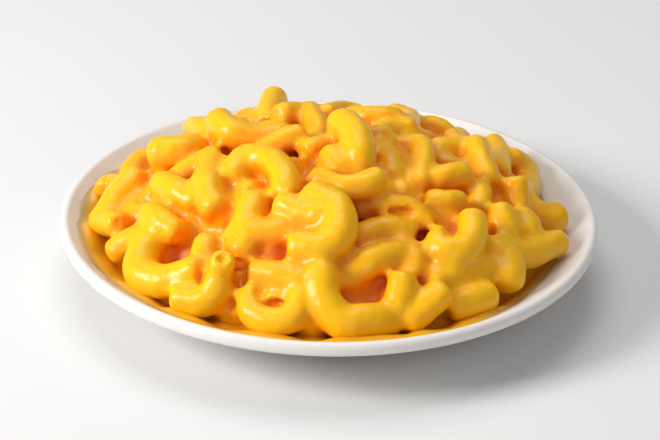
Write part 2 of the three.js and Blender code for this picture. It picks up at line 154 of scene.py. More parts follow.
# cheese: yellow where the sauce lies open, painted shade turning it orange towards the gaps and red deep
# down in them, and pale where a film thins out over the plate
def makeCheeseGroup():
    tree, start, end = newGroup(
        "cheeseTone",
        [("Light", "NodeSocketColor", (1, 0.6, 0.03, 1)), ("Painted Deep Shade", "NodeSocketColor", (0.8, 0.2, 0.01, 1)),
         ("Painted Crevice Shade", "NodeSocketColor", (0.5, 0.06, 0.003, 1)),
         ("Film", "NodeSocketColor", (0.7, 0.5, 0.2, 1)),
         ("Bare", "NodeSocketColor", (0.8, 0.78, 0.75, 1)),
         ("Painted Shade", "NodeSocketFloat", 0), ("Tone", "NodeSocketFloat", 0.5), ("Thin", "NodeSocketFloat", 0),
         ("Mottle Scale", "NodeSocketFloat", 60), ("Mottle", "NodeSocketFloat", 0.2),
         ("Ripple Scale", "NodeSocketFloat", 300)],
        [("Color", "NodeSocketColor"), ("Roughness", "NodeSocketFloat"), ("Height", "NodeSocketFloat")])
    link = tree.links.new
    place = addNode(tree, "ShaderNodeTexCoord", (-900, -300)).outputs["Object"]
    mottle = addNode(tree, "ShaderNodeTexNoise", (-700, -100), {"Detail": 4, "Roughness": 0.55})
    link(place, mottle.inputs["Vector"])
    link(start["Mottle Scale"], mottle.inputs["Scale"])
    spread = addNode(tree, "ShaderNodeMath", (-520, -100), {1: 0.5}, operation="SUBTRACT")
    link(mottle.outputs["Fac"], spread.inputs[0])
    weight = addNode(tree, "ShaderNodeMath", (-340, -100), operation="MULTIPLY_ADD")
    link(spread.outputs[0], weight.inputs[0])
    link(start["Mottle"], weight.inputs[1])
    link(start["Painted Shade"], weight.inputs[2])
    toneShift = addNode(tree, "ShaderNodeMath", (-340, 100), {1: toneSwing, 2: -toneSwing / 2},
                        operation="MULTIPLY_ADD")
    link(start["Tone"], toneShift.inputs[0])
    toned = addNode(tree, "ShaderNodeMath", (-160, -100), operation="ADD")
    link(weight.outputs[0], toned.inputs[0])
    link(toneShift.outputs[0], toned.inputs[1])
    # painted shade: the shade value, with mottle and tone added, turns the colour orange and then red
    orange = addNode(tree, "ShaderNodeMapRange", (20, 150), {"From Min": 0.05, "From Max": 0.8})
    link(toned.outputs[0], orange.inputs["Value"])
    red = addNode(tree, "ShaderNodeMapRange", (20, -150), {"From Min": 0.5, "From Max": 1})
    link(toned.outputs[0], red.inputs["Value"])
    shallow = addNode(tree, "ShaderNodeMix", (200, 150), data_type="RGBA")
    link(orange.outputs["Result"], shallow.inputs["Factor"])
    link(start["Light"], shallow.inputs["A"])
    link(start["Painted Deep Shade"], shallow.inputs["B"])
    deep = addNode(tree, "ShaderNodeMix", (380, 100), data_type="RGBA")
    link(red.outputs["Result"], deep.inputs["Factor"])
    link(shallow.outputs["Result"], deep.inputs["A"])
    link(start["Painted Crevice Shade"], deep.inputs["B"])
    thinning = addNode(tree, "ShaderNodeMapRange", (380, -80), {"From Max": 0.5})
    link(start["Thin"], thinning.inputs["Value"])
    film = addNode(tree, "ShaderNodeMix", (540, 50), data_type="RGBA")
    link(thinning.outputs["Result"], film.inputs["Factor"])
    link(deep.outputs["Result"], film.inputs["A"])
    link(start["Film"], film.inputs["B"])
    baring = addNode(tree, "ShaderNodeMapRange", (540, -180), {"From Min": 0.55})
    link(start["Thin"], baring.inputs["Value"])
    bare = addNode(tree, "ShaderNodeMix", (700, 0), data_type="RGBA")
    link(baring.outputs["Result"], bare.inputs["Factor"])
    link(film.outputs["Result"], bare.inputs["A"])
    link(start["Bare"], bare.inputs["B"])
    link(bare.outputs["Result"], end["Color"])
    ripple = addNode(tree, "ShaderNodeTexNoise", (-700, -400), {"Detail": 3, "Roughness": 0.5})
    link(place, ripple.inputs["Vector"])
    link(start["Ripple Scale"], ripple.inputs["Scale"])
    link(ripple.outputs["Fac"], end["Height"])
    gloss = addNode(tree, "ShaderNodeMapRange", (200, -350), {"To Min": 0.26, "To Max": 0.42})
    link(mottle.outputs["Fac"], gloss.inputs["Value"])
    link(gloss.outputs["Result"], end["Roughness"])
    return tree


cheeseTone = makeCheeseGroup()


def cheeseMaterial(name, look):
    material, tree, shader = newMaterial(name)
    link = tree.links.new
    cheese = addNode(tree, "ShaderNodeGroup", (-100, 0), node_tree=cheeseTone)
    for socket, value in look["tone"].items():
        cheese.inputs[socket].default_value = value
    for socket, attribute in look["attributes"].items():
        reader = addNode(tree, "ShaderNodeAttribute", (-400, 0), attribute_name=attribute)
        link(reader.outputs["Fac"], cheese.inputs[socket])
    bump = addNode(tree, "ShaderNodeBump", (100, -300), {"Strength": look["bump"], "Distance": 0.4 * mm})
    link(cheese.outputs["Height"], bump.inputs["Height"])
    link(bump.outputs["Normal"], shader.inputs["Normal"])
    link(cheese.outputs["Color"], shader.inputs["Base Color"])
    link(cheese.outputs["Roughness"], shader.inputs["Roughness"])
    for socket, value in look["shader"].items():
        shader.inputs[socket].default_value = value
    return material


plate = dict(
    radius=88.9, height=22, lipRound=1.9, lipBand=0.6, lipSlope=math.radians(37),
    underSlope=math.radians(26.5), wellRadius=46, wellHeight=5, hub=24,
    footRadius=50, footWidth=2.6, footHeight=1.6, footFlare=0.3, footFlat=0.1, footRise=0.35,
    sides=160, wallSteps=28, lipSteps=12, bandSteps=5, underSteps=16, wallSamples=48)
lipCentre = Vector((plate["radius"] - plate["lipRound"], plate["height"] - plate["lipRound"]))


def plateWall():
    # the inner face from the flat well up to the lip, as start, bend and end
    slope = plate["lipSlope"]
    top = lipCentre + Vector((-math.sin(slope), math.cos(slope))) * plate["lipRound"]
    bend = Vector((top.x - (top.y - plate["wellHeight"]) / math.tan(slope), plate["wellHeight"]))
    return Vector((plate["wellRadius"], plate["wellHeight"])), bend, top


wallStart, wallBend, wallTop = plateWall()
wallPoints = bezier(wallStart, wallBend, wallTop, plate["wallSamples"])


def wallHeight(radius):
    # the height of the plate's inner face at a distance from its axis
    for near, far in zip(wallPoints, wallPoints[1:]):
        if near.x <= radius <= far.x:
            return mixed(near.y, far.y, (radius - near.x) / (far.x - near.x))
    if radius < wallStart.x:
        return plate["wellHeight"]
    overLip = plate["lipRound"] ** 2 - (lipCentre.x - radius) ** 2
    return lipCentre.y + math.sqrt(max(0, overLip))


def makePlate():
    band = lipCentre - Vector((0, plate["lipBand"]))
    slope, quarter = plate["underSlope"], math.pi / 2
    under = band + Vector((math.sin(slope), -math.cos(slope))) * plate["lipRound"]
    underBend = Vector((under.x - (under.y - plate["footHeight"]) / math.tan(slope), plate["footHeight"]))
    footOutside, footInside = plate["footRadius"], plate["footRadius"] - plate["footWidth"]
    lean, flare, flat = plate["footHeight"] / 2, plate["footFlare"], plate["footFlat"]
    foot = [(footOutside + lean, plate["footHeight"]), (footOutside + flare, plate["footRise"]),
            (footOutside - flat, 0), (footInside + flat, 0), (footInside - flare, plate["footRise"]),
            (footInside - lean, plate["footHeight"])]
    outline = [Vector((0, plate["wellHeight"])), Vector((plate["hub"], plate["wellHeight"]))]
    outline += bezier(wallStart, wallBend, wallTop, plate["wallSteps"])
    outline += arc(lipCentre, plate["lipRound"], quarter + plate["lipSlope"], 0, plate["lipSteps"])[1:]
    outline += arc(band, plate["lipRound"], 0, slope - quarter, plate["bandSteps"])
    outline += bezier(under, underBend, Vector(foot[0]), plate["underSteps"])[1:]
    outline += [Vector(spot) for spot in foot[1:]]
    outline += [Vector((plate["hub"], plate["footHeight"])), Vector((0, plate["footHeight"]))]
    bm = bmesh.new()
    turnOutline(bm, [tuple(spot) for spot in outline], plate["sides"])
    return newPiece("plate_porcelain", bm, porcelainMaterial())


porcelain = dict(
    glaze=(0.79, 0.757, 0.727, 1), biscuit=(0.62, 0.56, 0.48, 1), glazeRough=0.36, biscuitRough=0.75,
    glazeFrom=0.5 * mm, biscuitTo=0.2 * mm, cloud=0.035, cloudScale=22,
    shader={"Specular IOR Level": 0.4, "Coat Weight": 0.1, "Coat Roughness": 0.25,
            "Subsurface Weight": 0.08, "Subsurface Scale": 2 * mm})


def porcelainMaterial():
    material, tree, shader = newMaterial("porcelain_glaze")
    link = tree.links.new
    place = addNode(tree, "ShaderNodeTexCoord", (-1000, 0)).outputs["Object"]
    cloud = addNode(tree, "ShaderNodeTexNoise", (-800, 200), {"Scale": porcelain["cloudScale"], "Detail": 3})
    link(place, cloud.inputs["Vector"])
    shade = addNode(tree, "ShaderNodeMapRange", (-600, 200),
                    {"To Min": 1 - porcelain["cloud"], "To Max": 1})
    link(cloud.outputs["Fac"], shade.inputs["Value"])
    glaze = addNode(tree, "ShaderNodeMix", (-400, 200), {"Factor": 1, "A": porcelain["glaze"]},
                    data_type="RGBA", blend_type="MULTIPLY")
    link(shade.outputs["Result"], glaze.inputs["B"])
    axes = addNode(tree, "ShaderNodeSeparateXYZ", (-800, -100))  # the foot's rim is left unglazed
    link(place, axes.inputs["Vector"])
    bare = addNode(tree, "ShaderNodeMapRange", (-600, -100),
                   {"From Min": porcelain["glazeFrom"], "From Max": porcelain["biscuitTo"]})
    link(axes.outputs["Z"], bare.inputs["Value"])
    colour = addNode(tree, "ShaderNodeMix", (-100, 100), {"B": porcelain["biscuit"]}, data_type="RGBA")
    link(bare.outputs["Result"], colour.inputs["Factor"])
    link(glaze.outputs["Result"], colour.inputs["A"])
    link(colour.outputs["Result"], shader.inputs["Base Color"])
    rough = addNode(tree, "ShaderNodeMapRange", (-100, -200),
                    {"To Min": porcelain["glazeRough"], "To Max": porcelain["biscuitRough"]})
    link(bare.outputs["Result"], rough.inputs["Value"])
    link(rough.outputs["Result"], shader.inputs["Roughness"])
    for socket, value in porcelain["shader"].items():
        shader.inputs[socket].default_value = value
    return material


platePiece = makePlate()
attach(platePiece, "root")
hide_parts("plate")
print("plate turned:", len(platePiece.data.polygons), "faces")


heap = dict(reach=77, edge=16.5, rise=27.5, power=2.4, sauceLevel=12.6, gap=0.3)
# the view the elbows are placed in, and how far and how often sight() steps and halves
eyeView = dict(distance=650, elevation=math.radians(27.3), roll=math.radians(1),
               target=Vector((0.27, 0, 17.5)), sensor=36, pointsPerMillimetre=3, imageWidth=660,
               stride=2, halvings=30)

# across and up are millimetres in the plane through the view's target that faces the eye
# each elbow: tube radius, then (across, up, lift) along its centreline, with a fourth number where the
# tube swells or narrows; a last number hollows its first end to that share of the radius
frontRow = [
    (5.1, (-45.5, -17.6, 5), (-49.5, -19, 4), (-56, -20.6, 3.5, 1.1), (-62.6, -18.3, 2.5, 1.2),
     (-62.4, -11.8, 2.5, 1.1), (-58, -5.8, 1.5, 0.9)),
    (4.7, (-35.9, -14.4, 11.5, 0.85), (-36.2, -16.4, 7.5, 0.9), (-37.4, -22, 5), (-41.5, -27, 3.5, 1.08),
     (-49, -27.8, 3.2), 0.5),
    (4.6, (-23.3, -17.8, 3), (-16.5, -18.9, 3.5, 1.05), (-9.8, -20.8, 3, 1.15)),
    (4.7, (-27, -25.6, 2, 0.82), (-25.7, -31.2, 2.5, 0.95), (-19, -34.7, 2.5), (-12.3, -32, 4),
     (-9.5, -26.5, 4)),
    (5.7, (-3, -18.9, 5), (-2.4, -26, 4.5), (3.5, -33.5, 3), (11, -34.6, 1.5), (18.5, -33, -0.5)),
    (4.9, (24, -21.3, 3.5, 0.95), (23.2, -26, 2), (21, -32, 0)),
    (5.0, (35.8, -25.4, 4), (32, -28.5, 2.5), (27.5, -32.5, 0.5)),
    (5.3, (43, -28.4, -1), (47, -27, 0), (51, -26.2, -0.5)),
    (6.0, (55.5, -11, 0.5), (58.6, -14.5, 1.5), (59, -18.6, 1.5)),
    (4.8, (58, -12, 0), (66, -11.3, 1.5), (74.6, -11.3, 0)),
    (5.6, (69, 0.5, -1), (72, -0.5, 0), (73.8, -1, 0)),
    (4.9, (63.3, 0, 1.5), (65.3, -1, 2.5), (65.5, -4, 2)),
    (4.9, (56.6, 1.6, 2.5), (57.6, -2.5, 1.5), (58.5, -7, 0)),
    (4.9, (36.4, -4.2, 2.5, 0.55), (35.7, -8, 3.5, 0.88), (39, -11, 4.5, 1.08), (44.3, -10.3, 5.5, 1.12),
     (47.4, -5.5, 5.5, 1.02), (47.4, -0.9, 5.5)),
    (4.8, (36, -19.5, 0), (43, -18, 0.5), (50, -16.5, 0)),
    (5.0, (7.5, -18, 0), (14, -13.8, 2), (22, -12, 0)),
    (4.7, (12.5, -5, -1), (19, -3.2, 0), (25, -4.5, -1)),
    (3.5, (13.5, 4.9, 0), (21, 5.3, 2), (27, 4, 1.8), (31.5, -0.3, 0.5)),
    (4.5, (24, -8.5, -1), (28, -13, 0.5), (27.3, -17.5, 0)),
]
middle = [
    (5.5, (-4, 7.5, 7.5), (2.5, 3.3, 8.5), (3.2, -4.3, 8.5), (-2.5, -9.3, 7.5), (-9.5, -9.5, 6.5)),
    (5.0, (-14.3, 4.1, 6), (-8.5, 1.4, 6), (-1.5, 0.6, 6.5, 1.15)),
    (4.8, (-28.6, -9.5, 2, 1.2), (-25.6, -5.4, 3, 1.15), (-18, -4.4, 3, 1.05), (-11, -5.5, 2)),
    (5.3, (-25.5, 4.8, 2.5), (-27.5, -0.5, 2.5, 0.95), (-31, -6, 1.5, 0.85)),
    (4.9, (-32, 15, 3.5), (-28.5, 20.2, 5), (-20, 19.8, 5.5), (-15.2, 14.3, 5.5), (-14.8, 9.8, 4.5)),
    (5.4, (-38.8, 18.5, 3, 0.85), (-40.6, 13, 4.5), (-40.3, 8, 4.5), (-38.6, 4.5, 3.5)),
    (5.1, (-55, 11.3, 3.5), (-50.5, 8.8, 3.5), (-46.3, 6, 2, 0.8)),
    (4.9, (-59, 1.2, 4), (-55.5, -1.5, 4), (-52.3, -3.7, 2.5, 0.9)),
    (4.5, (-41.2, -8.8, 3), (-41.8, -11, 3.5), (-41, -14.5, 2.5)),
    (4.4, (-50, 14, 1), (-45.5, 17, 2), (-39.5, 20.5, 1.5)),
    (4.2, (-6.5, 23.2, 3), (-1.5, 24.3, 2.5), (4, 25, 1)),
    (5.6, (4.6, 31.8, 8), (8.4, 27.8, 8.5), (10, 22, 7), (9.6, 16.5, 3)),
    (4.9, (1.2, 20.3, 4.5), (3, 17.5, 4), (5.5, 15, 2)),
    (4.4, (-3, 13, 4), (4, 10.5, 6), (10, 11.3, 7.5), (14.8, 13.2, 8)),
    (3.4, (12, 28.2, 2), (16.5, 28.2, 3), (17.8, 28.2, 3)),
    (4.5, (26, 24.2, 1), (30, 24.5, 2.5), (31, 19, 2), (29.8, 13, 0.5)),
    (4.8, (18.3, 21.3, 0), (20.2, 19, 0.5), (20.8, 14.5, -0.5)),
    (4.6, (43.2, 15, 3.5), (39.5, 14.4, 3), (36, 13.4, 1.5)),
    (3.9, (42.3, 6.2, 2.5), (38.5, 6, 2.3), (34.5, 6.3, 1.5)),
    (4.6, (37, 23.2, 0), (41, 23.5, 1), (44, 23.6, 1.5)),
    (3.6, (36.5, 0.5, -2), (39, -0.5, -2), (42, -1.5, -2)),
]
top = [
    (5.2, (-55.5, 21.8, 6.5, 1.22), (-49.5, 22.8, 5, 1.05), (-42, 25, 1.5, 0.9)),
    (4.6, (-44.8, 30.5, 3.5), (-41, 29.5, 2), (-37, 27, -1)),
    (5.3, (-36.7, 32.3, 7), (-32.3, 28.5, 5, 1.05), (-25, 26.8, 2), (-17, 27.2, 0.5)),
    (4.4, (-11.2, 27.8, 4.5), (-15.3, 26.2, 4), (-20, 23.3, 2)),
    (4.2, (-28.2, 33.3, 0.5), (-25.3, 33.7, 0.5), (-21, 33, 0)),
    (5.1, (-18.8, 40.2, 5, 0.93), (-19.8, 36.5, 3), (-20.5, 32.5, 0.5)),
    (4.8, (-15.3, 34.8, 4), (-12, 35, 3), (-8, 34, 1)),
    (4.5, (-6.7, 35.3, 2.5), (-5.3, 32.5, 2), (-3.8, 29.5, 0.5)),
    (4.6, (8, 33.8, 0.5), (15, 33.8, 2), (21, 33.2, 2)),
    (4.2, (-1, 35, 0), (4, 36, -0.5), (9, 34.8, -1)),
    (4.5, (21.8, 34.8, 0.5), (25.2, 34, 1.5), (25.5, 30, 1)),
    (4.4, (33.5, 30.8, 0.5), (36, 30.3, 0), (39, 28, -2)),
]
sides = [
    (5.0, (48.9, 23.6, 4.5), (50, 19, 3.5), (52, 13.5, 1.5)),
    (5.0, (54.6, 24, 1.5), (55.8, 20.5, 1.5), (55.5, 16, 0.5)),
    (4.5, (60.8, 19.8, 4), (65, 17.2, 2.5), (65.8, 12.5, 0.5), (65.5, 9, -1)),
    (4.4, (61.8, 11.3, 5.5), (62, 8.8, 3.5), (62.4, 5, 1)),
    (4.4, (49.6, 9.4, 0.5), (49.8, 7.5, 0), (49.6, 4, -1)),
    (3.8, (-74.9, 10.8, 1.5), (-73.5, 12, 1.5), (-68, 11.5, 2)),
    (5.6, (-74, -0.5, 1.5), (-71, 6, 3), (-65.5, 12.5, 3)),
    (4.8, (-66, 15.5, -1), (-62.5, 19.3, 0), (-56.5, 20.5, -1)),
    (4.6, (-71, -1.4, 4), (-73, -1.2, 3), (-76, -1.5, 1.5)),
    (4.7, (-70.3, -10, 1), (-66, -6.8, 1.8), (-60, -5.5, 1.5)),
]
# where the heap opens between its elbows: (across, up, depth, width); a depth of 0 only keeps fillers off
hollows = [
    (-50, -11.5, 7, 5), (-47, 1.2, 0, 4), (-20, -9, 0, 4), (-19, -27, 0, 4), (8, -24, 2, 6),
    (10, -0.5, 5, 4), (30, -6, 5.5, 3.5), (39, -1, 5, 3.5), (55, -4, 6, 3), (6, 15, 5, 3),
    (-26, 14, 0, 4), (30, -21, 4, 3), (-34, -30, 5, 4), (28, 14, 0, 4)]
# where sauce fills the heap up between them: (across, up, level, width)
fills = [
    (-20, -9, 4, 4.5), (-17.5, -22.5, 5.5, 5), (-19, -27, 5.5, 3), (-27, 14, 5, 5), (-30, -17, 4, 4),
    (-48.5, 1.5, 1.5, 4), (6, -26, 1, 5), (25, 13, 2, 6), (-38, 25.5, 3, 4), (-35, 23.5, 8, 3.5),
    (-12.5, 21.8, 5, 4), (-48, 14.5, 2, 3.5), (-21, 3, 3, 3.5), (25.5, 22.5, 2.5, 4),
    (61.5, 16.5, 3.5, 3.5), (39, -2, 1, 3), (56.5, 8.5, 0.5, 3), (-33, -28, 2, 4), (-33, 27.5, 2, 4),
    (57, 12, 1, 3), (-6, -34, 4, 4.5), (-40, -31, 2.5, 4.5)]
# where that sauce runs out between the elbows at the heap's foot: (across, up, reach, spread)
runs = [(-6, -36, 6.5, 0.08), (-39, -32, 5.5, 0.1), (25, -36, 4.5, 0.06), (-52, -27, 4, 0.08)]

towardsEye = Vector((0, -math.cos(eyeView["elevation"]), math.sin(eyeView["elevation"])))
eye = eyeView["target"] + towardsEye * eyeView["distance"]
planeAcross = Matrix.Rotation(eyeView["roll"], 3, towardsEye) @ Vector((1, 0, 0))
planeUp = towardsEye.cross(planeAcross)
facingEye = Matrix((planeAcross, planeUp, towardsEye)).transposed().to_4x4()


def heapLevel(x, y):
    return heap["edge"] + heap["rise"] * (1 - (math.hypot(x, y) / heap["reach"]) ** heap["power"])


def sightWay(across, up):
    return (eyeView["target"] + planeAcross * across + planeUp * up - eye).normalized()


def sight(across, up, lift):
    # where the line of sight first meets a level over the heap, or passes closest over its back
    way = sightWay(across, up)

    def over(distance):
        point = eye + way * distance
        return point.z - heapLevel(point.x, point.y) - lift

    far, stride = eyeView["distance"] - heap["reach"], eyeView["stride"]
    while over(far) > 0 and over(far + stride) < over(far):
        far += stride
    near = far - stride
    for _ in range(eyeView["halvings"]):
        half = (near + far) / 2
        if over(half) > 0:
            near = half
        else:
            far = half
    return eye + way * near


def dishDistance(point):
    radius = math.hypot(point.x, point.y)
    toWall = min(math.hypot(spot.x - radius, spot.y - point.z) for spot in wallPoints)
    return min(point.z - heap["sauceLevel"], toWall)


def clearOfDish(point, radius, way):
    step = way.normalized() * heap["gap"]
    while dishDistance(point) < radius + 2 * heap["gap"]:
        point = point + step
    return point


def placedElbows():
    elbows = []
    for radius, *spots in frontRow + middle + top + sides:
        bore = 0 if isinstance(spots[-1], tuple) else spots.pop()
        swell = [spot[3] if len(spot) > 3 else 1 for spot in spots]
        centreline = []
        for spot, wider in zip(spots, swell):
            point = sight(*spot[:3])
            way = upright if point.y < 0 else eye - point
            centreline.append(clearOfDish(point, radius * wider, way))
        elbows.append(dict(radius=radius, centreline=centreline, swell=swell, bore=bore))
    return elbows


perSpan = 14  # samples of a centreline between two of its points


def curveThrough(points):
    # centripetal Catmull-Rom, with the end spans led in by a mirrored point
    ends = [points[0] * 2 - points[1]] + list(points) + [points[-1] * 2 - points[-2]]
    samples = []
    for a, b, c, d in zip(ends, ends[1:], ends[2:], ends[3:]):
        ab, bc, cd = (math.sqrt((q - p).length) for p, q in ((a, b), (b, c), (c, d)))
        leave = ((b - a) / ab - (c - a) / (ab + bc) + (c - b) / bc) * bc
        arrive = ((c - b) / bc - (d - b) / (bc + cd) + (d - c) / cd) * bc
        for i in range(perSpan):
            t = i / perSpan
            samples.append(b * (2 * t ** 3 - 3 * t ** 2 + 1) + leave * (t ** 3 - 2 * t ** 2 + t)
                           + c * (3 * t ** 2 - 2 * t ** 3) + arrive * (t ** 3 - t ** 2))
    samples.append(points[-1].copy())
    return samples


filler = dict(seed=7, spots=190, reach=73, edge=74.5, clearance=7.6, hollow=9, radius=(4.2, 4.9),
              arc=(7, 11), height=(-2.5, 0), bend=math.radians(63))


def fillerElbow(middlePoint, heading, radius, arcRadius):
    turn = Matrix.Rotation(heading, 3, "Z")
    centreline = []
    for angle in (-filler["bend"], 0, filler["bend"]):
        aside = Vector((math.cos(angle) - 1, math.sin(angle), 0)) * arcRadius
        spot = turn @ aside + middlePoint
        inwards = min(1, filler["edge"] / math.hypot(spot.x, spot.y))
        spot.x, spot.y = spot.x * inwards, spot.y * inwards
        spot.z += heapLevel(spot.x, spot.y) - heapLevel(middlePoint.x, middlePoint.y)
        centreline.append(clearOfDish(spot, radius, upright))
    return dict(radius=radius, centreline=centreline, swell=(1, 1, 1), bore=0)


def withFillers(elbows):
    # more elbows on an even spiral, wherever the heap is still bare
    numbers = randomRun(filler["seed"])

    def between(pair):
        return mixed(pair[0], pair[1], next(numbers))

    elbows = list(elbows)
    openings = [sight(across, up, 0) for across, up, _, _ in hollows]
    taken = [point for elbow in elbows for point in curveThrough(elbow["centreline"])[::2]]
    for i in range(filler["spots"]):
        reach = filler["reach"] * math.sqrt((i + 0.5) / filler["spots"])
        turn = i * goldenAngle
        spot = Vector((reach * math.cos(turn), reach * math.sin(turn), 0))
        spot.z = heapLevel(spot.x, spot.y) + between(filler["height"])
        heading = between((0, math.tau))
        elbow = fillerElbow(spot, heading, between(filler["radius"]), between(filler["arc"]))
        free = all((point - spot).length > filler["hollow"] for point in openings)
        if free and all((point - spot).length > filler["clearance"] for point in taken):
            elbows.append(elbow)
            taken += elbow["centreline"]
    return elbows


# a tube's closed end and the cutter for a hollow one, at radius 1, as (distance from the centreline,
# distance past its end)
tube = dict(
    sides=18, step=1.6,
    closed=[(0, 0.78), (0.35, 0.77), (0.65, 0.73), (0.84, 0.62), (0.95, 0.42), (0.99, 0.2), (1, 0)],
    bore=[(0, 0.4), (0.5, 0.43), (0.8, 0.52), (1, 0.72), (1.15, 0.85), (1.4, 1.1), (0, 1.1)])


def lengthOf(samples):
    return sum((b - a).length for a, b in zip(samples, samples[1:]))


def bendAlong(bm, elbow):
    # carries a straight piece that was turned about Z onto the elbow's centreline
    samples = curveThrough(elbow["centreline"])
    lengths = [0]
    for a, b in zip(samples, samples[1:]):
        lengths.append(lengths[-1] + (b - a).length)
    length, spans = lengths[-1], len(elbow["centreline"]) - 1
    start, bend, end = elbow["centreline"][0], elbow["centreline"][1], elbow["centreline"][-1]
    bendAxis = (bend - start).cross(end - start)
    if bendAxis.length < 1:  # a straight centreline has no bend to turn about
        bendAxis = upright.copy()
    for vert in bm.verts:
        along = min(length, max(0, vert.co.z * length))
        k = min(len(lengths) - 2, max(0, bisect_left(lengths, along) - 1))
        share = (along - lengths[k]) / (lengths[k + 1] - lengths[k])
        before, after = samples[max(0, k - 1)], samples[min(len(samples) - 1, k + 2)]
        tangent = mixed(samples[k + 1] - before, after - samples[k], share).normalized()
        side = tangent.cross(bendAxis).normalized()
        over = side.cross(tangent)
        step = min(spans, (k + share) / perSpan)
        near = min(spans - 1, int(step))
        swell = mixed(elbow["swell"][near], elbow["swell"][near + 1], smoothStep(0, 1, step - near))
        past = (vert.co.z * length - along) * swell
        vert.co = (samples[k].lerp(samples[k + 1], share) + tangent * past
                   + (side * vert.co.x + over * vert.co.y) * swell)
    bmesh.ops.recalc_face_normals(bm, faces=bm.faces)


def makeTube(elbow):
    length, radius = lengthOf(curveThrough(elbow["centreline"])), elbow["radius"]
    steps = max(2, round(length / tube["step"]))
    outline = [(wide * radius, -past * radius / length) for wide, past in tube["closed"]]
    outline += [(radius, i / steps) for i in range(1, steps)]
    outline += [(wide * radius, 1 + past * radius / length) for wide, past in reversed(tube["closed"])]
    bm = bmesh.new()
    turnOutline(bm, outline, tube["sides"])
    bendAlong(bm, elbow)
    return bm


def makeBore(elbow):
    # what is cut from the first end of an open elbow
    length, radius = lengthOf(curveThrough(elbow["centreline"])), elbow["radius"]
    outline = [(wide * radius * elbow["bore"], -past * radius / length) for wide, past in tube["bore"]]
    bm = bmesh.new()
    turnOutline(bm, outline, tube["sides"])
    bendAlong(bm, elbow)
    return bm


core = dict(reach=68, drop=2, sides=96, rings=24, tuck=2, rim=1, waver=1.8, waves=((3, 0), (7, 2)))


def makeCore():
    foot = heap["sauceLevel"] + heap["gap"]
    rim = foot + core["rim"]
    outline = [(0, foot), (core["reach"] - core["tuck"], foot)]
    outline += [(core["reach"] * (1 - i / core["rings"]), rim) for i in range(core["rings"] + 1)]
    swells = [(sight(across, up, -depth / 2), -depth, width) for across, up, depth, width in hollows]
    swells += [(sight(across, up, level), level + core["drop"], width) for across, up, level, width in fills]
    mouths = [(sight(across, up, 0), reach, spread) for across, up, reach, spread in runs]
    bm = bmesh.new()
    turnOutline(bm, outline, core["sides"])
    for vert in bm.verts:
        angle = math.atan2(vert.co.y, vert.co.x)
        waver = core["waver"] * sum(math.sin(count * angle + turn) for count, turn in core["waves"])
        for mouth, further, spread in mouths:
            aside = (angle - math.atan2(mouth.y, mouth.x)) / spread
            waver += further * math.exp(-aside * aside)
        reach = 1 + waver * math.hypot(vert.co.x, vert.co.y) / core["reach"] ** 2
        vert.co.x, vert.co.y = vert.co.x * reach, vert.co.y * reach
        if vert.co.z > (foot + rim) / 2:
            level = heapLevel(vert.co.x, vert.co.y) - core["drop"]
            for centre, height, width in swells:
                away = math.hypot(vert.co.x - centre.x, vert.co.y - centre.y) / width
                level += height * math.exp(-away * away)
            vert.co.z = max(rim, level)
    return bm


coat = dict(voxel=0.785 * mm, thin=0.6, thick=0.7, spread=(-12, 34), smoothing=3, flatFoot=13.1,
            lumps=((0.16, 0.34), (0.45, 0.13)))

# small hollows in the finished surface: (across, up, wide, tall, depth)
dimples = [(-70.6, -1, 3.4, 1.9, 1.3), (-43.1, -18.4, 3.2, 7, 1.8), (61.8, 13, 2, 1.5, 0.9),
           (35.2, 9.2, 2.4, 1.6, 0.6), (66.4, -6.4, 2.6, 1.5, 0.9), (30.4, -6, 4, 7, 2.2),
           (24, 2.9, 10, 3.2, 1.6), (-18.5, -27.8, 8, 3, 2.5), (53.8, -4.5, 3.5, 7, 2.5),
           (30.3, -20.7, 4.5, 4, 2)]


def cleanSkin(piece):
    skin = piece.modifiers.new("skin", "REMESH")
    skin.mode, skin.voxel_size, skin.use_smooth_shade = "VOXEL", coat["voxel"], True
    applyModifiers(piece)


def raiseSkin(piece, height):
    # every vertex goes out along its normal by height(place), all in millimetres
    verts = [(vertex.co.copy(), vertex.normal.copy()) for vertex in piece.data.vertices]
    moved = [place + normal * height(place / mm) * mm for place, normal in verts]
    piece.data.vertices.foreach_set("co", [value for place in moved for value in place])
    piece.data.update()


def fillet(place):
    # how far the skin goes out and back in again to close narrow gaps: the sauce lies thicker on the right
    return mixed(coat["thin"], coat["thick"], smoothStep(*coat["spread"], place.x))


def lumps(place):
    # low unevenness of the sauce, a wide and a narrow wave
    return sum(high * noise.noise(place * fine) for fine, high in coat["lumps"])


def makeDimples(tree):
    # flattened balls, sunk to their middles in the surface and facing the eye
    joined = bmesh.new()
    for across, up, wide, tall, depth in dimples:
        place = tree.ray_cast(eye * mm, sightWay(across, up))[0] / mm
        shape = Matrix.Diagonal((wide / 2, tall / 2, depth, 1))
        bmesh.ops.create_uvsphere(joined, u_segments=16, v_segments=10, radius=1,
                                  matrix=Matrix.Translation(place) @ facingEye @ shape)
    return joined


def joinedPiece(name, parts, material):
    joined = bmesh.new()
    for bm in parts:
        loose = bpy.data.meshes.new("loose")
        bm.to_mesh(loose)
        bm.free()
        joined.from_mesh(loose)
        bpy.data.meshes.remove(loose)
    return newPiece(name, joined, material)


